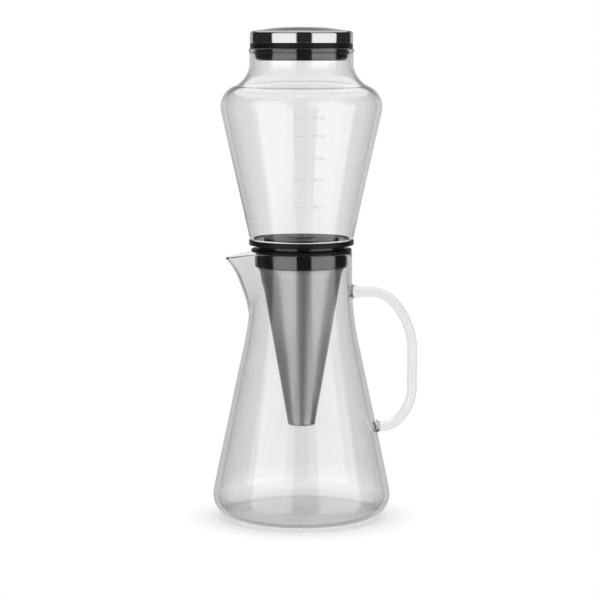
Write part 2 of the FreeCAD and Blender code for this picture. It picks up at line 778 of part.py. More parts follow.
def vessel_base_plug():
    body = new_body("vessel_base_plug", "vessel_level")
    neck = "mouth_radius - loose_fit"
    top = "vessel_wall + plug_flange"
    skirt = "spigot_radius - spigot_skirt"
    revolved(
        body,
        "grommet",
        (
            ("nozzle_stem", "-spigot_drop"),
            ("plug_boss", "-spigot_drop", "edge_round"),
            ("plug_boss", "-plug_web", "moulded_round"),
            (skirt, "-plug_web", "moulded_round"),
            (skirt, "-spigot_drop"),
            ("spigot_radius", "-spigot_drop", "moulded_round"),
            ("spigot_radius", "0"),
            (neck, "0"),
            (neck, "vessel_wall"),
            ("plug_flange_radius", "vessel_wall"),
            ("plug_flange_radius", top, "edge_round"),
            ("nozzle_stem", top),
        ),
    )
    return body


def drip_nozzle():
    body = new_body("drip_nozzle", "vessel_level")
    head = "vessel_wall + plug_flange"
    revolved(
        body,
        "turned_nozzle",
        (
            ("nozzle_bore", "-nozzle_drop"),
            ("nozzle_tip", "-nozzle_drop"),
            ("nozzle_barb", "-spigot_drop - barb_height"),
            ("nozzle_barb", "-spigot_drop"),
            ("nozzle_stem", "-spigot_drop"),
            ("nozzle_stem", head),
            ("nozzle_radius", head),
            ("nozzle_radius", f"{head} + nozzle_head", "edge_round"),
            ("nozzle_mouth", f"{head} + nozzle_head"),
            ("nozzle_bore", head),
        ),
    )
    return body


# Lid: a domed steel cap on a moulded core, with a rubber ring and a ribbed plug seal


def lid_cap():
    body = new_body("lid_cap", "mouth_level")
    inside = "lid_radius - lid_sheet"
    revolved(
        body,
        "domed_sheet",
        (
            (inside, "gasket_height"),
            ("lid_radius", "gasket_height"),
            ("lid_radius", "lid_side", "lid_edge_round"),
            ("dome_corner_radius", "dome_corner_height", "dome_round"),
            ("0", "lid_top"),
            ("0", "lid_top - lid_sheet"),
            ("dome_corner_radius", "dome_corner_height - lid_sheet", "dome_round"),
            (inside, "lid_side - lid_sheet", "edge_round"),
        ),
    )
    return body


def lid_core():
    body = new_body("lid_core", "mouth_level")
    disc = "lid_radius - lid_sheet - loose_fit"
    revolved(
        body,
        "moulded_core",
        (
            ("0", "-shank_drop"),
            ("shank_radius", "-shank_drop", "moulded_round"),
            ("shank_radius", "gasket_height"),
            (disc, "gasket_height"),
            (disc, "lid_side - lid_sheet - loose_fit", "moulded_round"),
            ("0", "lid_side - lid_sheet - loose_fit"),
        ),
    )
    return body


def lid_gasket():
    body = new_body("lid_gasket", "mouth_level")
    revolved(
        body,
        "gasket_ring",
        (
            ("shank_radius", "0"),
            ("gasket_radius", "0", "gasket_round"),
            ("gasket_radius", "gasket_height", "gasket_round"),
            ("shank_radius", "gasket_height"),
        ),
    )
    return body


def lid_plug_seal():
    """A rubber cup on the shank of the core, with two ribs that press on the inside of the neck."""
    body = new_body("lid_plug_seal", "mouth_level")
    revolved(
        body,
        "cup",
        (
            ("0", "-plug_seal_drop"),
            ("plug_seal_radius", "-plug_seal_drop", "plug_seal_round"),
            ("plug_seal_radius", "0"),
            ("shank_radius", "0"),
            ("shank_radius", "-shank_drop", "moulded_round"),
            ("0", "-shank_drop"),
        ),
    )
    root = "(shank_radius + plug_seal_radius) / 2"
    for count, name in enumerate(("upper_rib", "lower_rib")):
        middle = f"-rib_top - {count} * rib_pitch"
        revolved(
            body,
            name,
            (
                (root, f"{middle} - rib_height / 2"),
                ("rib_radius", f"{middle} - rib_height / 2", "edge_round"),
                ("rib_radius", f"{middle} + rib_height / 2", "edge_round"),
                (root, f"{middle} + rib_height / 2"),
            ),
        )
    return body


# Every piece is checked before any of them is written

PIECES = (
    carafe_glass,
    carafe_handle,
    filter_cone,
    filter_mesh,
    filter_end_cap,
    filter_collar,
    collar_seal,
    collar_clip,
    water_spreader,
    vessel_glass,
    vessel_base_ring,
    vessel_base_plug,
    drip_nozzle,
    lid_cap,
    lid_core,
    lid_gasket,
    lid_plug_seal,
)

bodies = [make() for make in PIECES]
doc.recompute()
failed = [item.Label for item in doc.Objects if {"Invalid", "Error"} & set(item.State)]
assert not failed, f"these did not build: {failed}"
for body in bodies:
    shape = body.Shape
    assert not shape.isNull() and shape.isValid() and len(shape.Solids) == 1, f"{body.Label} is not one sound solid"
os.makedirs("parts", exist_ok=True)
for body in bodies:
    body.Shape.exportStep(f"parts/{body.Label}.step")
    print(f"{body.Label}: {body.Shape.Volume:.0f} mm3")
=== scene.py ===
import bmesh
import bpy
import math
from mathutils import Matrix, Vector


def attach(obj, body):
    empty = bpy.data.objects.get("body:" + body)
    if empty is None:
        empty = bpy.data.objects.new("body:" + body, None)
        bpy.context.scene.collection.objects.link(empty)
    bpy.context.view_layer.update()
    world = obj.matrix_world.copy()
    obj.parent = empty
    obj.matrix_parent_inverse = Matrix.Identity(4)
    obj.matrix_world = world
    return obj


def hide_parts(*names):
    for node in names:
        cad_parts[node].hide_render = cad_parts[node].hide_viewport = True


# A cold brew coffee maker in clear glass: a spouted carafe with a rod handle, a steel cone filter in a
# black collar in its neck, and a tapered water vessel with a drip nozzle and a steel lid on top.
# Profiles are written in millimetres, and meshes are made in metres.

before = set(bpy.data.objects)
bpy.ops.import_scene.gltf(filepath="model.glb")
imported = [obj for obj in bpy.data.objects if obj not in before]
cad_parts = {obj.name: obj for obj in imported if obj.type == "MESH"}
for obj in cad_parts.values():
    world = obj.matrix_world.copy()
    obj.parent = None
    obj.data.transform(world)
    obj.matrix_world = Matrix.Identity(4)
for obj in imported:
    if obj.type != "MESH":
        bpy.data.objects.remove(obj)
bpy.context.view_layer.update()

# Carafe. Blown borosilicate glass with an even wall, a pushed-up base and a fire-polished rim. Its
# spout is drawn out of the neck while the glass is hot, so the rim dips towards the tip.

MM = 0.001


def turned(corners, level=0.0, steps=128):
    """A form spun round the upright axis from a closed row of corners, each written (radius, height)
    or (radius, height, round, segments), with the heights counted from a level."""
    form = bmesh.new()
    points = [form.verts.new((corner[0] * MM, 0, (level + corner[1]) * MM)) for corner in corners]
    for i, point in enumerate(points):
        if corners[i - 1][0] or corners[i][0]:
            form.edges.new((points[i - 1], point))
    for point, corner in zip(points, corners):
        if len(corner) > 2:
            arms = [edge.other_vert(point).co - point.co for edge in point.link_edges]
            reach = corner[2] * MM / math.tan(arms[0].angle(arms[1]) / 2)
            bmesh.ops.bevel(
                form, geom=[point], offset=reach, offset_type="OFFSET", affect="VERTICES",
                segments=corner[3] if len(corner) > 3 else 5, profile=0.5, material=-1,
            )
    bmesh.ops.spin(
        form, geom=form.verts[:] + form.edges[:], cent=(0, 0, 0), axis=(0, 0, 1), dvec=(0, 0, 0),
        angle=2 * math.pi, steps=steps, use_merge=True, use_duplicate=False,
    )
    bmesh.ops.remove_doubles(form, verts=form.verts, dist=1e-6)
    bmesh.ops.recalc_face_normals(form, faces=form.faces)
    return form


def finished(name, form, material, body, nodes, sharp=40):
    """Makes the piece from a form: smooth except at its sharp edges, riding on its body in place of
    its CAD nodes."""
    mesh = bpy.data.meshes.new(name)
    form.to_mesh(mesh)
    form.free()
    mesh.shade_smooth()
    mesh.set_sharp_from_angle(angle=math.radians(sharp))
    mesh.materials.append(material)
    piece = bpy.data.objects.new(name, mesh)
    bpy.context.scene.collection.objects.link(piece)
    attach(piece, body)
    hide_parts(*nodes)


def new_material(name, **values):
    """A material with its Principled shader, whose plain values are set on the shader's own sockets."""
    material = bpy.data.materials.new(name)
    material.use_nodes = True
    shader = material.node_tree.nodes["Principled BSDF"]
    for socket, value in values.items():
        shader.inputs[socket.replace("_", " ")].default_value = value
    return material, material.node_tree, shader


def add_node(tree, kind, **values):
    """A node with its settings, and its unlinked inputs by name."""
    node = tree.nodes.new(kind)
    for key, value in values.items():
        if key[0].isupper():
            node.inputs[key.replace("_", " ")].default_value = value
        else:
            setattr(node, key, value)
    return node


def new_group(name, inputs, outputs):
    """An empty shader group with its two ends, its sockets written as label and kind."""
    group = bpy.data.node_groups.new(name, "ShaderNodeTree")
    for way, sockets in (("INPUT", inputs), ("OUTPUT", outputs)):
        for label, kind in sockets.items():
            group.interface.new_socket(label, in_out=way, socket_type=f"NodeSocket{kind}")
    return group, group.nodes.new("NodeGroupInput"), group.nodes.new("NodeGroupOutput")


def on_piece(tree, group, **values):
    """A group's node in a material, laid out on the piece's own coordinates."""
    place = add_node(tree, "ShaderNodeTexCoord")
    laid = add_node(tree, "ShaderNodeGroup", node_tree=group, **values)
    tree.links.new(place.outputs["Object"], laid.inputs["Vector"])
    return laid


def blown_waviness():
    """A group that gives the faint waviness of a blown wall as a normal."""
    group, start, end = new_group("blown_waviness", {"Vector": "Vector"}, {"Normal": "Vector"})
    waves = add_node(group, "ShaderNodeTexNoise", Scale=28.0, Detail=1.0, Roughness=0.4)
    bump = add_node(group, "ShaderNodeBump", Strength=0.12, Distance=0.0004)
    group.links.new(start.outputs["Vector"], waves.inputs["Vector"])
    group.links.new(waves.outputs["Fac"], bump.inputs["Height"])
    group.links.new(bump.outputs["Normal"], end.inputs["Normal"])
    return group


WAVINESS = blown_waviness()


def clear_glass(name, tint, density):
    """Clear wavy glass that takes a little light inside, so it looks darker where it is seen edge on."""
    material, tree, shader = new_material(
        name, Base_Color=(tint, tint, tint, 1), Roughness=0.0, IOR=1.47, Transmission_Weight=1.0
    )
    inside = add_node(tree, "ShaderNodeVolumeAbsorption", Color=(0.5, 0.5, 0.5, 1), Density=density)
    waves = on_piece(tree, WAVINESS)
    tree.links.new(inside.outputs[0], tree.nodes["Material Output"].inputs["Volume"])
    tree.links.new(waves.outputs["Normal"], shader.inputs["Normal"])
    return material


FOOT_RADIUS, NECK_RADIUS, FLARE_HEIGHT = 64.45, 34.5, 140.3
FLARE = (FOOT_RADIUS - NECK_RADIUS) / FLARE_HEIGHT
CARAFE_WALL = 2.2
NECK_SWEEP, SWEEP_TOP, SWEEP_FOOT = 220.0, 163.5, 112
RIM, SPOUT_FOOT, TIP_REACH, TIP_LEVEL, DIP_START = 182.0, 139.0, 52.1, 177.8, -30.0
NOSE = ((139.0, 35.9, 17.0), (148.0, 37.6, 13.0), (157.0, 40.6, 10.5), (166.0, 44.1, 8.5),
        (172.0, 47.4, 7.3), (177.8, 52.1, 6.2), (184.0, 58.6, 5.4))


def neck_radius(level):
    """Outside of the neck and its long sweep into the flared wall."""
    return NECK_RADIUS + NECK_SWEEP - math.sqrt(NECK_SWEEP**2 - max(SWEEP_TOP - level, 0) ** 2)


def wall_radius(level):
    """Outside of the carafe, by its flared wall below the sweep and its neck above."""
    return neck_radius(level) if level > SWEEP_FOOT else FOOT_RADIUS - FLARE * level


def nose_at(level):
    """Reach and radius of the spout's nose at a height, smoothly between the measured ones."""
    rows = [row for row in NOSE if row[0] <= level] or [NOSE[0]]
    i = min(len(rows) - 1, len(NOSE) - 2)
    low, high = NOSE[i], NOSE[i + 1]
    before, after = NOSE[max(i - 1, 0)], NOSE[min(i + 2, len(NOSE) - 1)]
    span = high[0] - low[0]
    t = max(0.0, min(1.0, (level - low[0]) / span))
    values = []
    for k in (1, 2):
        start_slope = (high[k] - before[k]) / (high[0] - before[0]) * span
        end_slope = (after[k] - low[k]) / (after[0] - low[0]) * span
        values.append(
            (2 * t**3 - 3 * t**2 + 1) * low[k] + (t**3 - 2 * t**2 + t) * start_slope
            + (3 * t**2 - 2 * t**3) * high[k] + (t**3 - t**2) * end_slope
        )
    return values


def spout_place(share, inset, level):
    """The point at a share of the way round the neck and its spout at a height, an inset inside it."""
    reach, nose = nose_at(level)
    neck = neck_radius(level) - inset
    away = reach - nose
    nose = nose - inset
    lean = math.acos(min(1.0, (neck - nose) / away))
    side = away * math.sin(lean)
    round_neck = neck * (math.pi - lean)
    half = round_neck + side + nose * lean
    along = abs(share) * half
    if along < round_neck:
        turn = along / neck
        place = Vector((neck * math.cos(turn), neck * math.sin(turn)))
    elif along < round_neck + side:
        start = Vector((-math.cos(lean), math.sin(lean)))
        place = start * neck + Vector((-math.sin(lean), -math.cos(lean))) * (along - round_neck)
    else:
        turn = math.pi - lean + (along - round_neck - side) / nose
        place = Vector((-away + nose * math.cos(turn), nose * math.sin(turn)))
    return place.x, math.copysign(place.y, share)


SOFT_BEND, BEND_START = 4.0, 30


def rim_level(across):
    """The rim's height, level over most of the neck, bending softly and falling straight to the tip of
    the spout."""
    fall = (RIM - TIP_LEVEL) / (TIP_REACH + DIP_START)
    past = DIP_START - across
    eased = 0.5 * (past + math.sqrt(past**2 + SOFT_BEND**2)) if past > -BEND_START else 0
    return RIM - fall * max(eased - 0.5 * (math.sqrt(BEND_START**2 + SOFT_BEND**2) - BEND_START), 0)


def draw_spout(form):
    """Draws the spout out of the neck of a spun form. A few rounds settle each point's height, which
    depends on how far out it has moved."""
    for vert in form.verts:
        level = vert.co.z / MM
        if level <= SPOUT_FOOT:
            continue
        inset = neck_radius(level) - math.hypot(vert.co.x, vert.co.y) / MM
        share = math.atan2(vert.co.y, vert.co.x) / math.pi
        drawn = level
        for _ in range(6):
            across, aside = spout_place(share, inset, drawn)
            risen = (level - SPOUT_FOOT) / (RIM - SPOUT_FOOT)
            drawn = SPOUT_FOOT + (rim_level(across) - SPOUT_FOOT) * risen
        vert.co = Vector((across, aside, drawn)) * MM


INNER_FOOT = FOOT_RADIUS - CARAFE_WALL * math.hypot(1, FLARE)
PUSH_UP, PUSH_UP_RADIUS = 1.5, 28.0
NECK_LEVELS = (SWEEP_FOOT, 116, 120, 124, 128, 132, 135.5, *(SPOUT_FOOT + step * 3.0 for step in range(14)))
carafe_form = turned(
    [
        (0, PUSH_UP),
        (PUSH_UP_RADIUS, 0.1, 20.0, 6),
        (FOOT_RADIUS, 0.0, 16.0, 16),
        *((neck_radius(level), level) for level in NECK_LEVELS),
        (NECK_RADIUS, RIM, 1.08, 6),
        (NECK_RADIUS - CARAFE_WALL, RIM, 1.08, 6),
        *((neck_radius(level) - CARAFE_WALL, level) for level in reversed(NECK_LEVELS)),
        (INNER_FOOT - CARAFE_WALL * FLARE, CARAFE_WALL, 13.8, 16),
        (PUSH_UP_RADIUS, 2.3, 20.0, 6),
        (0, PUSH_UP + CARAFE_WALL),
    ],
    steps=200,
)
draw_spout(carafe_form)
carafe_material = clear_glass("carafe_glass", 0.94, 56.0)
finished("carafe", carafe_form, carafe_material, "carafe", ["carafe_glass"])

# Handle. A solid glass rod, a little wider than it is deep, bent to a D and welded on with the torch:
# its ends widen into soft pads against the neck and low on the flared wall.

ROD = (10.0, 6.8)
TOP_PAD = [(12.8, 10.2), (11.0, 7.6), (10.1, 6.9)]
FOOT_PAD = [(10.4, 7.1), (11.2, 8.2), (12.8, 10.2)]
HANDLE_TOP, HANDLE_FOOT = 154.4, 61.3
WELD_REACH, WELD_GAP, NECK_WELD = 0.3, 0.03, 34.7

handle_line = [(across, HANDLE_TOP) for across in (34.6, 38.0, 42.0, 47.2)]
for centre, radius, first, last, count in (
    ((47.25, 133.95), 20.5, 90, 45, 8),
    ((27.8, 114.5), 48.0, 45, 0, 12),
    ((43.8, 89.0), 32.0, 0, -45, 10),
    ((54.4, 78.4), 17.0, -45, -90, 8),
):
    for step in range(1, count + 1):
        turn = math.radians(first + (last - first) * step / count)
        handle_line.append((centre[0] + radius * math.cos(turn), centre[1] + radius * math.sin(turn)))
handle_line += [(FOOT_RADIUS - FLARE * HANDLE_FOOT + out, HANDLE_FOOT) for out in (2.4, 1.0, 0)]


def ring_edges(ring):
    """The edges that run round a ring, each once."""
    edges = (edge for vert in ring for edge in vert.link_edges)
    return list(dict.fromkeys(edge for edge in edges if all(vert in ring for vert in edge.verts)))


def bent_rod(line, sizes, steps=32):
    """A rod with an oval section along a line in the XZ plane, its section growing by the sizes."""
    form = bmesh.new()
    rings = []
    for i, (across, up) in enumerate(line):
        before, after = Vector(line[max(i - 1, 0)]), Vector(line[min(i + 1, len(line) - 1)])
        along = (after - before).normalized()
        wide, deep = sizes[i]
        turn = Matrix(((0, along.y, along.x), (1, 0, 0), (0, -along.x, along.y)))
        place = Matrix.Translation((across * MM, 0, up * MM))
        made = bmesh.ops.create_circle(
            form, cap_ends=False, radius=0.5, segments=steps,
            matrix=place @ turn.to_4x4() @ Matrix.Diagonal((wide * MM, deep * MM, 1, 1)),
        )
        rings.append(made["verts"])
    for ring, further in zip(rings, rings[1:]):
        bmesh.ops.bridge_loops(form, edges=ring_edges(ring) + ring_edges(further))
    for ring in (rings[0], rings[-1]):
        bmesh.ops.contextual_create(form, geom=ring)
    bmesh.ops.recalc_face_normals(form, faces=form.faces)
    return form


plain_rings = len(handle_line) - len(TOP_PAD) - len(FOOT_PAD)
handle_form = bent_rod(handle_line, [*TOP_PAD, *[ROD] * plain_rings, *FOOT_PAD])
for vert in handle_form.verts:
    wall = math.sqrt(max(wall_radius(vert.co.z / MM) ** 2 - (vert.co.y / MM) ** 2, 0))
    if vert.co.x / MM < max(wall + WELD_REACH, NECK_WELD):
        vert.co.x = (wall + WELD_GAP) * MM
finished(
    "handle", handle_form, clear_glass("rod_glass", 0.96, 32.0),
    "carafe", ["carafe_handle"], sharp=60,
)

# Filter cone. Spun from thin steel with a satin finish and punched with fine staggered holes, flanged at
# the top, where the collar holds it, and rolled in at the foot round its end cap. The fine mesh lies
# inside it.


def turned_grain():
    """A group that gives the fine rings left by spinning or turning, so many to a metre, as a grey."""
    group, start, end = new_group(
        "turned_grain", {"Vector": "Vector", "Rings": "Float"}, {"Grain": "Float"}
    )
    parts = add_node(group, "ShaderNodeSeparateXYZ")
    flat = add_node(group, "ShaderNodeVectorMath", operation="MULTIPLY")
    flat.inputs[1].default_value = (1, 1, 0)
    radius = add_node(group, "ShaderNodeVectorMath", operation="LENGTH")
    level = add_node(group, "ShaderNodeMath", operation="MULTIPLY")
    out = add_node(group, "ShaderNodeMath", operation="MULTIPLY")
    ring = add_node(group, "ShaderNodeCombineXYZ")
    fine = add_node(group, "ShaderNodeTexNoise", Scale=1.0, Detail=3.0, Roughness=0.6)
    link = group.links.new
    link(start.outputs["Vector"], parts.inputs[0])
    link(start.outputs["Vector"], flat.inputs[0])
    link(flat.outputs[0], radius.inputs[0])
    link(parts.outputs["Z"], level.inputs[0])
    link(start.outputs["Rings"], level.inputs[1])
    link(radius.outputs["Value"], out.inputs[0])
    link(start.outputs["Rings"], out.inputs[1])
    link(out.outputs[0], ring.inputs["X"])
    link(level.outputs[0], ring.inputs["Z"])
    link(ring.outputs[0], fine.inputs["Vector"])
    link(fine.outputs["Fac"], end.inputs["Grain"])
    return group


GRAIN = turned_grain()


def turned_steel(name, colour, roughness, rings, depth, vary=0.05, metallic=1.0):
    """Steel with the fine rings of its turning in its roughness and normals."""
    material, tree, shader = new_material(name, Base_Color=(*colour, 1), Metallic=metallic)
    grain = on_piece(tree, GRAIN, Rings=rings)
    rough = add_node(tree, "ShaderNodeMapRange", To_Min=roughness - vary, To_Max=roughness + vary)
    bump = add_node(tree, "ShaderNodeBump", Strength=0.5, Distance=depth)
    tree.links.new(grain.outputs["Grain"], rough.inputs["Value"])
    tree.links.new(rough.outputs["Result"], shader.inputs["Roughness"])
    tree.links.new(grain.outputs["Grain"], bump.inputs["Height"])
    tree.links.new(bump.outputs["Normal"], shader.inputs["Normal"])
    return material


HOLES_ROUND, HOLE_ROWS = 120, 900.0


def perforations():
    """A group that marks the staggered fine holes of the cone, between its plain top and its foot. The
    holes are counted round the cone and the rows to a metre, on a grid turned by an eighth."""
    group, start, end = new_group("perforations", {"Vector": "Vector"}, {"Holes": "Float"})
    parts = add_node(group, "ShaderNodeSeparateXYZ")
    turn = add_node(group, "ShaderNodeMath", operation="ARCTAN2")
    across = add_node(group, "ShaderNodeMath", operation="MULTIPLY")
    across.inputs[1].default_value = HOLES_ROUND / (2 * math.pi)
    up = add_node(group, "ShaderNodeMath", operation="MULTIPLY")
    up.inputs[1].default_value = HOLE_ROWS
    grid = add_node(group, "ShaderNodeCombineXYZ")
    skew = add_node(group, "ShaderNodeVectorRotate", rotation_type="Z_AXIS", Angle=math.pi / 4)
    cells = add_node(
        group, "ShaderNodeTexVoronoi", voronoi_dimensions="2D", Scale=math.sqrt(2), Randomness=0.0
    )
    edge = add_node(group, "ShaderNodeMapRange", From_Min=0.34, From_Max=0.26)
    foot = add_node(group, "ShaderNodeMapRange", From_Min=0.070, From_Max=0.0702)
    top = add_node(group, "ShaderNodeMapRange", From_Min=0.1662, From_Max=0.166)
    zone = add_node(group, "ShaderNodeMath", operation="MULTIPLY")
    marked = add_node(group, "ShaderNodeMath", operation="MULTIPLY")
    link = group.links.new
    link(start.outputs["Vector"], parts.inputs[0])
    link(parts.outputs["Y"], turn.inputs[0])
    link(parts.outputs["X"], turn.inputs[1])
    link(turn.outputs[0], across.inputs[0])
    link(parts.outputs["Z"], up.inputs[0])
    link(across.outputs[0], grid.inputs["X"])
    link(up.outputs[0], grid.inputs["Y"])
    link(grid.outputs[0], skew.inputs["Vector"])
    link(skew.outputs[0], cells.inputs["Vector"])
    link(cells.outputs["Distance"], edge.inputs["Value"])
    link(parts.outputs["Z"], foot.inputs["Value"])
    link(parts.outputs["Z"], top.inputs["Value"])
    link(foot.outputs["Result"], zone.inputs[0])
    link(top.outputs["Result"], zone.inputs[1])
    link(zone.outputs[0], marked.inputs[0])
    link(edge.outputs["Result"], marked.inputs[1])
    link(marked.outputs[0], end.inputs["Holes"])
    return group


PLAIN_SHEET, PUNCHED_SHEET = (0.52, 0.518, 0.514), (0.38, 0.379, 0.376)


def punched_steel():
    """The cone's satin steel, darker at its holes."""
    material = turned_steel("satin_steel", PLAIN_SHEET, 0.36, 2500.0, 0.00004, metallic=0.64)
    tree = material.node_tree
    holes = on_piece(tree, perforations())
    sheet = add_node(tree, "ShaderNodeMix", data_type="RGBA")
    plain, punched = (socket for socket in sheet.inputs if socket.type == "RGBA")
    plain.default_value = (*PLAIN_SHEET, 1)
    punched.default_value = (*PUNCHED_SHEET, 1)
    mixed = next(socket for socket in sheet.outputs if socket.type == "RGBA")
    tree.links.new(holes.outputs["Holes"], sheet.inputs["Factor"])
    tree.links.new(mixed, tree.nodes["Principled BSDF"].inputs["Base Color"])
    return material


COLLAR = 186.7
CONE_FOOT, CONE_BEND = -122.3, -18.4
FOOT_OUT, TOP_OUT, CONE_SHEET = 9.4, 27.6, 0.5
FLANGE_OUT, FLANGE_FOOT = 30.2, -0.6
cone_steel = punched_steel()
cone_form = turned(
    [
        (FOOT_OUT, CONE_FOOT), (TOP_OUT, CONE_BEND, 6.0, 4), (TOP_OUT, FLANGE_FOOT, 0.3, 3),
        (FLANGE_OUT, FLANGE_FOOT), (FLANGE_OUT, 0), (TOP_OUT - CONE_SHEET, 0, 0.8, 4),
        (TOP_OUT - CONE_SHEET, CONE_BEND, 6.0, 4), (FOOT_OUT - CONE_SHEET, CONE_FOOT),
    ],
    COLLAR,
)
finished("cone", cone_form, cone_steel, "filter", ["filter_cone"])

MESH_FOOT, MESH_TOP, MESH_LEVEL, MESH_SHEET = 8.8, 26.54, -21.0, 0.3
mesh_form = turned(
    [
        (MESH_FOOT, CONE_FOOT), (MESH_TOP, MESH_LEVEL),
        (MESH_TOP - MESH_SHEET, MESH_LEVEL), (MESH_FOOT - MESH_SHEET, CONE_FOOT),
    ],
    COLLAR,
)
mesh_steel = turned_steel("mesh_steel", (0.42, 0.42, 0.42), 0.45, 1200.0, 0.0001)
finished("fine_mesh", mesh_form, mesh_steel, "filter", ["filter_mesh"])

cap_form = turned(
    [
        (0, -1.6), (FOOT_OUT, -1.6, 1.0), (FOOT_OUT, 0, 0.3, 3), (8.4, 0),
        (8.4, 3.5), (7.8, 3.5), (7.8, -1.0), (0, -1.0),
    ],
    COLLAR + CONE_FOOT, steps=96,
)
finished("end_cap", cap_form, cone_steel, "filter", ["filter_end_cap"])

# Collar. A glossy black moulded ring that fills the neck of the carafe and carries everything above,
# with a silicone ring in its groove that rests on the rim, and a steel clip ring under it.


def moulded_skin():
    """A group that gives the faint uneven skin of a moulding, as a grey and as a normal."""
    group, start, end = new_group(
        "moulded_skin", {"Vector": "Vector"}, {"Skin": "Float", "Normal": "Vector"}
    )
    skin = add_node(group, "ShaderNodeTexNoise", Scale=900.0, Detail=2.0)
    bump = add_node(group, "ShaderNodeBump", Strength=0.3, Distance=0.00002)
    group.links.new(start.outputs["Vector"], skin.inputs["Vector"])
    group.links.new(skin.outputs["Fac"], bump.inputs["Height"])
    group.links.new(skin.outputs["Fac"], end.inputs["Skin"])
    group.links.new(bump.outputs["Normal"], end.inputs["Normal"])
    return group


SKIN = moulded_skin()


def moulded(name, colour, roughness, gloss):
    """Black plastic or silicone with a faint uneven sheen."""
    material, tree, shader = new_material(name, Base_Color=(*colour, 1), Specular_IOR_Level=gloss)
    skin = on_piece(tree, SKIN)
    rough = add_node(tree, "ShaderNodeMapRange", To_Min=roughness * 0.8, To_Max=roughness * 1.25)
    tree.links.new(skin.outputs["Skin"], rough.inputs["Value"])
    tree.links.new(rough.outputs["Result"], shader.inputs["Roughness"])
    tree.links.new(skin.outputs["Normal"], shader.inputs["Normal"])
    return material


COLLAR_FOOT, COLLAR_BORE = -15.2, 27.65
GROOVE_FOOT, GROOVE_TOP, GROOVE_IN = -4.6, -2.7, 29.8
black_plastic = moulded("black_plastic", (0.012, 0.012, 0.013), 0.12, 0.45)
black_silicone = moulded("black_silicone", (0.007, 0.007, 0.0075), 0.36, 0.14)
collar_form = turned(
    [
        (COLLAR_BORE, COLLAR_FOOT, 0.4, 3), (31.2, COLLAR_FOOT, 1.6), (31.2, GROOVE_FOOT, 0.3, 3),
        (GROOVE_IN, GROOVE_FOOT), (GROOVE_IN, GROOVE_TOP), (31.0, GROOVE_TOP, 0.3, 3), (31.0, 0, 0.3, 3),
        (FLANGE_OUT, 0), (FLANGE_OUT, FLANGE_FOOT), (COLLAR_BORE, FLANGE_FOOT),
    ],
    COLLAR,
)
finished("collar", collar_form, black_plastic, "filter", ["filter_collar"])

seal_form = turned(
    [(GROOVE_IN, GROOVE_FOOT), (34.3, GROOVE_FOOT, 0.7), (34.3, GROOVE_TOP, 0.7), (GROOVE_IN, GROOVE_TOP)],
    COLLAR,
)
finished("collar_seal", seal_form, black_silicone, "filter", ["collar_seal"])

clip_form = turned(
    [(COLLAR_BORE, -17.1), (28.8, -17.1, 0.4), (28.8, COLLAR_FOOT, 0.4), (COLLAR_BORE, COLLAR_FOOT)],
    COLLAR,
)
finished("clip_ring", clip_form, cone_steel, "filter", ["collar_clip"])

# Water spreader. A small dish pressed from bright steel, loose in the cone, whose rings of fine holes
# spread the drops over the coffee. Its CAD shape is used as it is.

bright_steel = turned_steel("bright_steel", (0.62, 0.62, 0.61), 0.14, 1800.0, 0.00002)
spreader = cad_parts["water_spreader"]
spreader.data.materials.clear()
spreader.data.materials.append(bright_steel)

# Water vessel. Blown glass that widens from an open bottom to a round shoulder, with a straight neck
# and a small bead round its mouth, so the lid's plug has a true bore to seal in.

VESSEL = 188.0
VESSEL_WALL = 2.0
HEEL_RADIUS, OPEN_BOTTOM = 34.55, 22.5
SHOULDER_RADIUS, SHOULDER_LEVEL = 57.13, 101.4
THROAT_RADIUS, THROAT_LEVEL, VESSEL_BORE = 35.1, 110.18, 33.1
BEAD_RADIUS, BEAD_TOP = 35.6, 131.4
VESSEL_FLARE = (SHOULDER_RADIUS - HEEL_RADIUS) / SHOULDER_LEVEL

# The inner corners lie where the lines one wall inside the flare, the shoulder and the neck meet.
wall_across = VESSEL_WALL * math.hypot(1, VESSEL_FLARE)
shoulder = Vector((SHOULDER_RADIUS, SHOULDER_LEVEL))
slope = (Vector((THROAT_RADIUS, THROAT_LEVEL)) - shoulder).normalized()
inside = shoulder + Vector((-abs(slope.y), -abs(slope.x))) * VESSEL_WALL
shoulder_in_level = (
    (inside.y + (HEEL_RADIUS - wall_across - inside.x) * slope.y / slope.x)
    / (1 - VESSEL_FLARE * slope.y / slope.x)
)
shoulder_in = HEEL_RADIUS - wall_across + VESSEL_FLARE * shoulder_in_level
throat_in_level = inside.y + (VESSEL_BORE - inside.x) * slope.y / slope.x
vessel_form = turned(
    [
        (OPEN_BOTTOM, 0, 0.9, 5),
        (HEEL_RADIUS, 0, 5.0, 12),
        (SHOULDER_RADIUS, SHOULDER_LEVEL, 14.5, 18),
        (THROAT_RADIUS, THROAT_LEVEL, 16.5, 14),
        (THROAT_RADIUS, 128.6, 1.2, 4),
        (BEAD_RADIUS, 128.9, 0.5, 4),
        (BEAD_RADIUS, BEAD_TOP, 0.9, 5),
        (VESSEL_BORE, BEAD_TOP, 0.9, 5),
        (VESSEL_BORE, throat_in_level, 18.5, 14),
        (shoulder_in, shoulder_in_level, 12.5, 18),
        (HEEL_RADIUS + VESSEL_WALL * VESSEL_FLARE - wall_across, VESSEL_WALL, 0.5, 5),
        (OPEN_BOTTOM, VESSEL_WALL, 0.9, 5),
    ],
    VESSEL, steps=200,
)
vessel_material = clear_glass("vessel_glass", 0.965, 42.0)
finished("vessel", vessel_form, vessel_material, "vessel", ["vessel_glass"])

# Scale. Five short marks with plain numbers and a thin upright line, printed on the front of the
# vessel in pale grey enamel.

PRINT_PROUD = 0.06
MARK_LEVELS = (214.9, 233.2, 247.3, 262.1, 274.1)
NUMBER_LEFT, NUMBER_SIZE = 6.4, 3.1


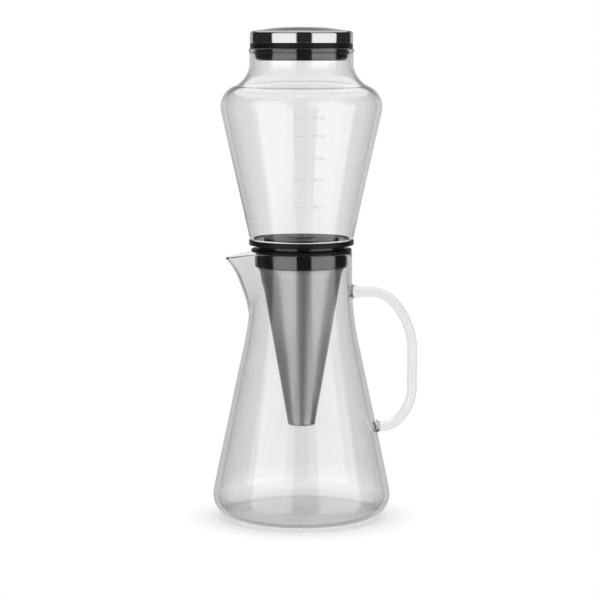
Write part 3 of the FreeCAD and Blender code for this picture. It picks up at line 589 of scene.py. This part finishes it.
def wrapped(form):
    """Bends a flat form, drawn in millimetres across X and up Y, round the front of the vessel."""
    for vert in form.verts:
        across, up = vert.co.x, vert.co.y
        radius = HEEL_RADIUS + VESSEL_FLARE * (up - VESSEL) + PRINT_PROUD
        turn = across / radius
        vert.co = Vector((radius * math.sin(turn), -radius * math.cos(turn), up)) * MM


def bar(form, left, right, foot, top):
    """Adds a flat bar cut into short lengths, so that it can bend."""
    wide, tall = right - left, top - foot
    centre = Matrix.Translation(((left + right) / 2, (foot + top) / 2, 0))
    bmesh.ops.create_grid(
        form, x_segments=max(2, round(wide / 0.8)), y_segments=max(2, round(tall / 4)), size=0.5,
        matrix=centre @ Matrix.Diagonal((wide, tall, 1, 1)),
    )


scale_form = bmesh.new()
bar(scale_form, -5.0, -4.7, 210.0, 278.0)
for mark, level in enumerate(MARK_LEVELS, start=1):
    bar(scale_form, -4.4, 3.4, level - 0.2, level + 0.2)
    words = bpy.data.curves.new(f"number_{mark}", "FONT")
    words.body = f"{mark}00 ml"
    words.size = NUMBER_SIZE
    words.align_y = "CENTER"
    words.resolution_u = 2
    number = bpy.data.objects.new(words.name, words)
    letters = bpy.data.meshes.new_from_object(number)
    letters.transform(Matrix.Translation((NUMBER_LEFT, level, 0)))
    scale_form.from_mesh(letters)
    bpy.data.objects.remove(number)
    bpy.data.curves.remove(words)
    bpy.data.meshes.remove(letters)
bmesh.ops.triangulate(scale_form, faces=scale_form.faces)
wrapped(scale_form)
mesh = bpy.data.meshes.new("scale")
scale_form.to_mesh(mesh)
scale_form.free()
mesh.materials.append(new_material("scale_enamel", Base_Color=(0.62, 0.62, 0.62, 1), Roughness=0.5)[0])
scale = bpy.data.objects.new("scale", mesh)
bpy.context.scene.collection.objects.link(scale)
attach(scale, "vessel")

# Vessel fittings. A silicone ring stretched over the heel of the vessel lets it stand on the collar,
# and a silicone plug in its open bottom centres it in the cone and grips the turned steel nozzle.

ring_form = turned(
    [
        (26.9, -1.3, 0.3, 3), (35.7, -1.3, 0.6), (35.7, 2.1, 0.4),
        (34.57, 2.1), (34.2, 1.1, 1.0, 3), (33.2, 0.05, 1.0, 3), (26.9, 0),
    ],
    VESSEL,
)
finished("base_ring", ring_form, black_silicone, "vessel", ["vessel_base_ring"])

PLUG_FOOT, PLUG_TOP, NOZZLE_HOLE = -6.3, 3.2, 4.0
plug_form = turned(
    [
        (NOZZLE_HOLE, PLUG_FOOT), (7.5, PLUG_FOOT, 0.4), (7.5, -1.8, 1.0), (23.2, -1.8, 1.0),
        (23.2, PLUG_FOOT, 0.3, 3), (26.4, PLUG_FOOT, 1.0), (26.4, -0.02, 0.2, 2), (22.4, -0.02),
        (22.4, 2.02), (25.5, 2.02, 0.2, 2), (25.5, PLUG_TOP, 0.4), (NOZZLE_HOLE, PLUG_TOP),
    ],
    VESSEL,
)
finished("base_plug", plug_form, black_silicone, "vessel", ["vessel_base_plug"])

nozzle_form = turned(
    [
        (0.6, -10.0), (1.6, -10.0, 0.3, 3), (5.2, -7.1), (5.2, PLUG_FOOT), (NOZZLE_HOLE, PLUG_FOOT),
        (NOZZLE_HOLE, PLUG_TOP), (9.0, PLUG_TOP), (9.0, 4.1, 0.4), (1.8, 4.1, 0.2, 2), (0.6, PLUG_TOP),
    ],
    VESSEL, steps=64,
)
nozzle_steel = turned_steel("nozzle_steel", (0.05, 0.05, 0.052), 0.4, 1800.0, 0.00002)
finished("drip_nozzle", nozzle_form, nozzle_steel, "vessel", ["drip_nozzle"])

# Lid. A domed cap of mirror-polished steel over a black moulded core, with a silicone ring between the
# cap and the glass, and a ribbed cup on the core that seals in the neck and shines like the collar.

MOUTH = 319.4
CAP_FOOT, CORE_FOOT, SPIGOT = 3.4, -6.8, 30.0
lid_form = turned(
    [
        (34.3, CAP_FOOT, 0.2, 2), (34.9, CAP_FOOT, 0.3, 3), (34.9, 11.4, 2.0, 8), (17.5, 14.0, 60.0, 10),
        (0, 14.6), (0, 14.0), (17.5, 13.4, 60.0, 10), (34.3, 10.8, 0.4, 3),
    ],
    MOUTH, steps=160,
)
mirror_steel = turned_steel("mirror_steel", (0.42, 0.418, 0.415), 0.05, 900.0, 0.000004, vary=0.02)
finished("lid_cap", lid_form, mirror_steel, "lid", ["lid_cap"])

core_form = turned(
    [
        (0, CORE_FOOT), (SPIGOT, CORE_FOOT, 1.0), (SPIGOT, CAP_FOOT), (34.2, 3.42), (34.2, 10.7, 1.0),
        (0, 10.7),
    ],
    MOUTH, steps=96,
)
finished("lid_core", core_form, black_plastic, "lid", ["lid_core"])

gasket_form = turned([(SPIGOT, 0), (34.8, 0, 0.7), (34.8, CAP_FOOT, 0.7), (SPIGOT, CAP_FOOT)], MOUTH)
finished("lid_gasket", gasket_form, black_silicone, "lid", ["lid_gasket"])

CUP_OUT, RIB_OUT, CUP_IN = 31.5, 32.7, 30.02
cup_form = turned(
    [
        (0, -8.2), (CUP_OUT, -8.2, 3.0, 6),
        (CUP_OUT, -3.9, 0.2, 2), (RIB_OUT, -3.8, 0.5, 4), (RIB_OUT, -2.8, 0.5, 4), (CUP_OUT, -2.7, 0.2, 2),
        (CUP_OUT, -1.8, 0.2, 2), (RIB_OUT, -1.7, 0.5, 4), (RIB_OUT, -0.7, 0.5, 4), (CUP_OUT, -0.6, 0.2, 2),
        (CUP_OUT, 0), (CUP_IN, 0), (CUP_IN, CORE_FOOT, 1.0), (0, CORE_FOOT),
    ],
    MOUTH,
)
finished("plug_seal", cup_form, black_plastic, "lid", ["lid_plug_seal"])

# Floor. A white disc that keeps the soft shadow: matte with a glow of its own near the maker, with a
# painted pool of light beneath the glass and a ring of painted shadow close round its foot, and plain white
# further out. Polished pieces don't reflect it.

TONE_REACH = 0.2
# The floor's glow by distance from the middle: a painted pool of light beneath the glass, then painted
# shadow round the foot, then the plain level.
FLOOR_PAINTED_LIGHT_AND_SHADE = ((0.042, 0.76), (0.054, 0.45), (0.068, 0.41), (0.1, 0.53))


def fill_ramp(ramp, rows):
    """Sets the stops of a colour ramp, each written (position, grey) and in order."""
    stops = ramp.color_ramp.elements
    stops[0].position, stops[1].position = rows[0][0], rows[-1][0]
    for position, _ in rows[1:-1]:
        stops.new(position)
    for stop, (_, grey) in zip(stops, rows):
        stop.color = (grey, grey, grey, 1)


floor_form = bmesh.new()
bmesh.ops.create_circle(floor_form, cap_ends=True, cap_tris=False, radius=0.34, segments=96)
floor_mesh = bpy.data.meshes.new("floor")
floor_form.to_mesh(floor_mesh)
floor_form.free()
floor = bpy.data.objects.new("floor", floor_mesh)
floor.location = (0, 0, -0.0002)
bpy.context.scene.collection.objects.link(floor)

floor_material = bpy.data.materials.new("floor_white")
floor_material.use_nodes = True
tree = floor_material.node_tree
tree.nodes.clear()
out = tree.nodes.new("ShaderNodeOutputMaterial")
paths = tree.nodes.new("ShaderNodeLightPath")
place = add_node(tree, "ShaderNodeTexCoord")
spread = add_node(tree, "ShaderNodeVectorMath", operation="LENGTH")
near = add_node(
    tree, "ShaderNodeMapRange", From_Min=0.08, From_Max=0.22, interpolation_type="SMOOTHSTEP"
)
white = add_node(tree, "ShaderNodeEmission", Color=(1, 1, 1, 1), Strength=1.0)
outward = add_node(tree, "ShaderNodeMath", operation="DIVIDE")
outward.inputs[1].default_value = TONE_REACH
# This ramp paints light and shade into the floor's glow: brighter beneath the glass, darker in a ring round
# the foot.
under = tree.nodes.new("ShaderNodeValToRGB")
fill_ramp(under, [(radius / TONE_REACH, tone) for radius, tone in FLOOR_PAINTED_LIGHT_AND_SHADE])
lift = add_node(tree, "ShaderNodeEmission", Color=(1, 1, 1, 1))
matte = add_node(tree, "ShaderNodeBsdfDiffuse", Color=(0.75, 0.75, 0.75, 1))
lit = tree.nodes.new("ShaderNodeAddShader")
faded = tree.nodes.new("ShaderNodeMixShader")
through = add_node(tree, "ShaderNodeBsdfTransparent", Color=(1, 1, 1, 1))
mirrored = add_node(tree, "ShaderNodeMath", operation="GREATER_THAN")
mirrored.inputs[1].default_value = 0.5
shown = tree.nodes.new("ShaderNodeMixShader")
link = tree.links.new
link(place.outputs["Object"], spread.inputs[0])
link(spread.outputs["Value"], near.inputs["Value"])
link(spread.outputs["Value"], outward.inputs[0])
link(outward.outputs[0], under.inputs["Fac"])
link(under.outputs["Color"], lift.inputs["Strength"])
link(matte.outputs[0], lit.inputs[0])
link(lift.outputs[0], lit.inputs[1])
link(near.outputs["Result"], faded.inputs["Fac"])
link(lit.outputs[0], faded.inputs[1])
link(white.outputs[0], faded.inputs[2])
link(paths.outputs["Glossy Depth"], mirrored.inputs[0])
link(mirrored.outputs[0], shown.inputs["Fac"])
link(faded.outputs[0], shown.inputs[1])
link(through.outputs[0], shown.inputs[2])
link(shown.outputs[0], out.inputs["Surface"])
floor.data.materials.append(floor_material)

# Studio. A ring of light that polished steel and matte pieces take: two tall panels in front, a white
# wall behind and dark gaps between. Straight through glass it is white, a little darker to the front
# and sides, and the camera itself sees plain white.

DARK, PANEL, WALL = 0.025, 1.0, 0.34
RING = ((-180, WALL), (-142, WALL), (-138, DARK), (-70, DARK), (-67, PANEL), (-13, PANEL), (-10, DARK),
        (22, DARK), (25, PANEL), (82, PANEL), (85, DARK), (138, DARK), (142, WALL), (180, WALL))

world = bpy.data.worlds.new("studio")
bpy.context.scene.world = world
world.use_nodes = True
tree = world.node_tree
tree.nodes.clear()
out = tree.nodes.new("ShaderNodeOutputWorld")
paths = tree.nodes.new("ShaderNodeLightPath")
place = add_node(tree, "ShaderNodeTexCoord")
parts = add_node(tree, "ShaderNodeSeparateXYZ")
toward = add_node(tree, "ShaderNodeMath", operation="MULTIPLY")
toward.inputs[1].default_value = -1.0
bearing = add_node(tree, "ShaderNodeMath", operation="ARCTAN2")
share = add_node(tree, "ShaderNodeMath", operation="MULTIPLY_ADD")
share.inputs[1].default_value = 1 / (2 * math.pi)
share.inputs[2].default_value = 0.5
ring = add_node(tree, "ShaderNodeValToRGB")
fill_ramp(ring, [((angle + 180) / 360, value) for angle, value in RING])
power = add_node(tree, "ShaderNodeMath", operation="MULTIPLY")
taper = add_node(tree, "ShaderNodeMapRange", From_Min=0.08, From_Max=0.35, To_Min=2.0, To_Max=0.6)
low = add_node(
    tree, "ShaderNodeMapRange", From_Min=-0.62, From_Max=-0.48, interpolation_type="SMOOTHSTEP"
)
over = add_node(tree, "ShaderNodeMath", operation="MULTIPLY_ADD")
over.inputs[1].default_value = 0.3
high = add_node(
    tree, "ShaderNodeMapRange", From_Min=0.62, From_Max=0.72, interpolation_type="SMOOTHSTEP"
)
above = add_node(tree, "ShaderNodeMix", data_type="FLOAT", B=1.2)
below = add_node(tree, "ShaderNodeMix", data_type="FLOAT", A=0.5)
depths = add_node(tree, "ShaderNodeMath", operation="ADD")
bounced = add_node(tree, "ShaderNodeMath", operation="GREATER_THAN")
bounced.inputs[1].default_value = 0.5
ahead = add_node(
    tree, "ShaderNodeMapRange", From_Min=0.4, From_Max=0.85, To_Min=0.8, interpolation_type="SMOOTHSTEP"
)
seen = add_node(tree, "ShaderNodeMix", data_type="FLOAT")
strength = add_node(tree, "ShaderNodeMath", operation="MAXIMUM")
background = add_node(tree, "ShaderNodeBackground", Color=(1, 1, 1, 1))
link = tree.links.new
link(place.outputs["Generated"], parts.inputs[0])
link(parts.outputs["Y"], toward.inputs[0])
link(parts.outputs["X"], bearing.inputs[0])
link(toward.outputs[0], bearing.inputs[1])
link(bearing.outputs[0], share.inputs[0])
link(share.outputs[0], ring.inputs["Fac"])
link(ring.outputs["Color"], power.inputs[0])
link(parts.outputs["Z"], taper.inputs["Value"])
link(taper.outputs["Result"], power.inputs[1])
link(parts.outputs["Z"], low.inputs["Value"])
link(parts.outputs["Y"], over.inputs[0])
link(parts.outputs["Z"], over.inputs[2])
link(over.outputs[0], high.inputs["Value"])
link(low.outputs["Result"], below.inputs["Factor"])
link(power.outputs[0], below.inputs["B"])
link(high.outputs["Result"], above.inputs["Factor"])
link(below.outputs["Result"], above.inputs["A"])
link(paths.outputs["Glossy Depth"], depths.inputs[0])
link(paths.outputs["Diffuse Depth"], depths.inputs[1])
link(depths.outputs[0], bounced.inputs[0])
link(bounced.outputs[0], seen.inputs["Factor"])
link(parts.outputs["Y"], ahead.inputs["Value"])
link(ahead.outputs["Result"], seen.inputs["A"])
link(above.outputs["Result"], seen.inputs["B"])
link(seen.outputs["Result"], strength.inputs[0])
link(paths.outputs["Is Camera Ray"], strength.inputs[1])
link(strength.outputs[0], background.inputs["Strength"])
link(background.outputs[0], out.inputs["Surface"])

# Camera. It stands well back and a little above the maker, and looks slightly down on it.

CAMERA_PLACE, CAMERA_DIP, CAMERA_LENS = (-0.001, -1.5, 0.318), 6.44, 132.63
camera_data = bpy.data.cameras.new("camera")
camera_data.lens = CAMERA_LENS
camera = bpy.data.objects.new("camera", camera_data)
camera.location = CAMERA_PLACE
camera.rotation_euler = (math.radians(90 - CAMERA_DIP), 0, 0)
bpy.context.scene.collection.objects.link(camera)
bpy.context.scene.camera = camera
bpy.context.scene.view_settings.view_transform = "Standard"
